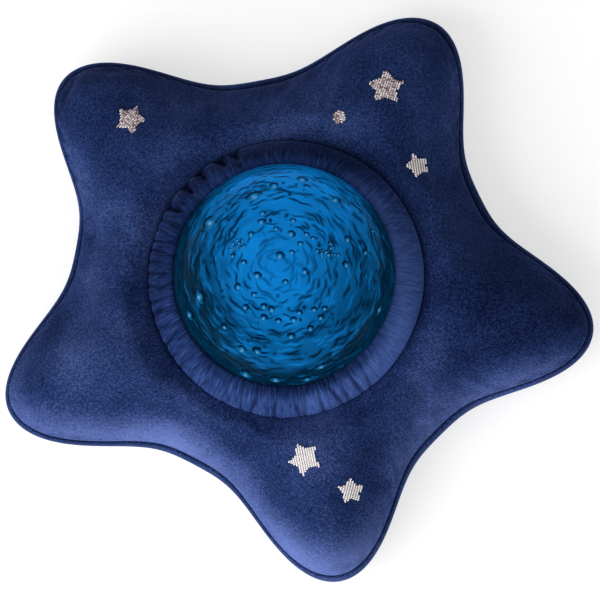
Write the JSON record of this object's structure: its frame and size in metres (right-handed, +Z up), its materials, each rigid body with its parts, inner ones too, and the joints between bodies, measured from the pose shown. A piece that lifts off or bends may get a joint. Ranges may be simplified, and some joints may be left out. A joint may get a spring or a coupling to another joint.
{
  "type": "ocean projector night light",
  "caption": "Plush star with a gathered collar round a rippled blue dome, under which a motor turns a wave lens over lamps to throw water light.",
  "frame": {"origin": "middle of the footprint, on the table", "axes": "+Z up through the dome, +X towards the widest reach of the star, +Y towards the two upper arms of the picture"},
  "size_m": [0.275, 0.2652, 0.0973],
  "materials": {
    "velour": "short pile",
    "filling": "fibre",
    "elastic": "woven cover",
    "metallic_thread": "satin stitch",
    "white_plastic": "fine texture",
    "blue_dome": "moulded ripples",
    "clear_plastic": "polished",
    "blue_plastic": "satin",
    "foam": "closed cell",
    "soft_feet": "matte",
    "steel": "plated",
    "white_board": "solder mask",
    "green_board": "solder mask",
    "lamp": "clear",
    "black_parts": "moulded",
    "paper_cone": "pressed",
    "magnet": "plated",
    "cell_jacket": "plain sleeve"
  },
  "bodies": {
    "projector": {"base_shell": "white_plastic", "deck": "white_plastic", "dome_lens": "blue_dome", "dome_gasket": "foam", "dome_ring": "white_plastic", "lens_spindle": "steel", "thrust_washer": "white_plastic", "led_board": "white_board", "leds": "lamp", "light_reflector": "white_plastic", "drive_motor": "steel", "motor_screws": "steel", "control_board": "green_board", "board_parts": "black_parts", "switch_board": "green_board", "tact_switches": "black_parts", "slide_switch": "steel", "board_screws": "steel", "speaker_gasket": "foam", "speaker_frame": "steel", "speaker_cone": "paper_cone", "speaker_magnet": "magnet", "battery_cells": "cell_jacket", "battery_contacts": "steel", "housing_screws": "steel", "rubber_feet": "soft_feet"},
    "cover": {"star_top_panel": "velour", "star_bottom_panel": "velour", "stuffing": "filling", "pocket_lining": "velour", "gathered_collar": "velour", "collar_elastic": "elastic", "opening_binding": "velour", "embroidered_stars": "metallic_thread"},
    "wave_wheel": {"wave_lens": "clear_plastic", "lens_gear": "white_plastic"},
    "drive_pinion": {"motor_pinion": "white_plastic", "motor_shaft": "steel"},
    "light_key": {"light_button": "blue_plastic"},
    "sound_key": {"sound_button": "blue_plastic"},
    "power_key": {"power_slider": "blue_plastic"},
    "bay_door": {"battery_door": "white_plastic", "door_screw": "steel"}
  },
  "joints": [
    {"name": "cover_lift", "type": "slide", "parent": "projector", "child": "cover", "axis": [0, 0, 1], "range_m": [0, 0.11]},
    {"name": "lens_spin", "type": "hinge", "parent": "projector", "child": "wave_wheel", "pos_m": [-0.00417, 0.00604, 0.049], "axis": [0, 0, 1], "continuous": true},
    {"name": "pinion_spin", "type": "hinge", "parent": "projector", "child": "drive_pinion", "pos_m": [0.03663, 0.00604, 0.049], "axis": [0, 0, 1], "continuous": true},
    {"name": "light_press", "type": "slide", "parent": "projector", "child": "light_key", "axis": [0, 0, 1], "range_m": [0, 0.0008], "stiffness_N_per_m": 700},
    {"name": "sound_press", "type": "slide", "parent": "projector", "child": "sound_key", "axis": [0, 0, 1], "range_m": [0, 0.0008], "stiffness_N_per_m": 700},
    {"name": "power_slide", "type": "slide", "parent": "projector", "child": "power_key", "axis": [1, 0, 0], "range_m": [-0.0015, 0.0015]},
    {"name": "door_swing", "type": "hinge", "parent": "projector", "child": "bay_door", "pos_m": [-0.00417, 0.04654, 0.0015], "axis": [1, 0, 0], "range_deg": [0, 75]}
  ],
  "couplings": [
    {"joint": "pinion_spin", "follows": "lens_spin", "ratio": -7.5}
  ]
}
